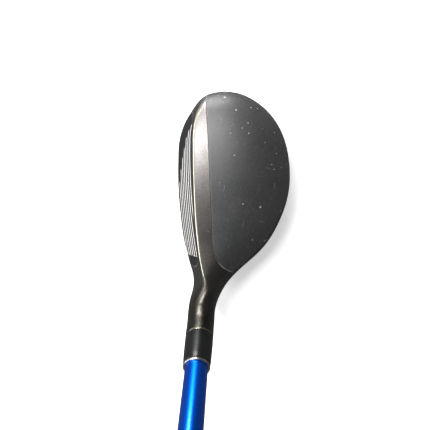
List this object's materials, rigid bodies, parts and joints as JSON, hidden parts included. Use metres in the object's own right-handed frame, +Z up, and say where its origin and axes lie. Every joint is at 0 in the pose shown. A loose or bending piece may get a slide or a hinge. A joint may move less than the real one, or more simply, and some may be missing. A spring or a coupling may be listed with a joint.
{
  "type": "hybrid golf club",
  "caption": "Right-handed hybrid golf club at address: hollow steel head with dark crown plate, scored face, bonded blue tapered shaft, black ferrule, rubber grip and screw-in sole weight.",
  "frame": {"origin": "point of the sole that rests on the ground at address, in the middle of the sole's small flat", "axes": "+Z up from the ground, -Y towards the target side that the face looks at, -X towards the toe, the shaft rises towards +X at the lie angle"},
  "size_m": [0.6228, 0.0608, 0.8767],
  "materials": {
    "head_steel": "satin dark PVD coat",
    "face_steel": "satin, milled, bright scorelines",
    "crown_coat": "matte dark grey",
    "adhesive": "matte",
    "badge_metal": "satin anodised",
    "port_steel": "satin",
    "weight_steel": "satin",
    "screw_steel": "satin",
    "dense_metal": "sintered",
    "hot_melt": "tacky",
    "plug_plastic": "matte",
    "pin_brass": "turned",
    "ferrule_plastic": "semi-gloss black",
    "ring_metal": "polished",
    "shaft_paint": "metallic blue under clear coat",
    "label_film": "printed film",
    "tape": "paper tape",
    "grip_rubber": "matte textured",
    "cap_rubber": "matte"
  },
  "bodies": {
    "club": {"head_body": "head_steel", "face_plate": "face_steel", "crown_plate": "crown_coat", "crown_bond": "adhesive", "sole_badge": "badge_metal", "badge_adhesive": "adhesive", "port_sleeve": "port_steel", "back_weight": "dense_metal", "hot_melt_pad": "hot_melt", "hosel_plug": "plug_plastic", "tip_epoxy": "adhesive", "tip_pin": "pin_brass", "ferrule": "ferrule_plastic", "ferrule_ring": "ring_metal", "ferrule_epoxy": "adhesive", "shaft": "shaft_paint", "shaft_label": "label_film", "grip_tape": "tape", "grip_sleeve": "grip_rubber", "grip_cap": "cap_rubber"},
    "weight_cup": {"weight_washer": "weight_steel"},
    "weight_bolt": {"weight_screw": "screw_steel"}
  },
  "joints": [
    {"name": "weight_back_out", "type": "slide", "parent": "club", "child": "weight_cup", "axis": [0, 0.2079, -0.9781], "range_m": [0, 0.006]},
    {"name": "weight_turn", "type": "hinge", "parent": "weight_cup", "child": "weight_bolt", "pos_m": [0.004, 0.018, 0.001], "axis": [0, 0.2079, -0.9781], "range_deg": [0, 2162]}
  ],
  "couplings": [
    {"joint": "weight_turn", "follows": "weight_back_out", "rad_per_m": 6283.2}
  ]
}
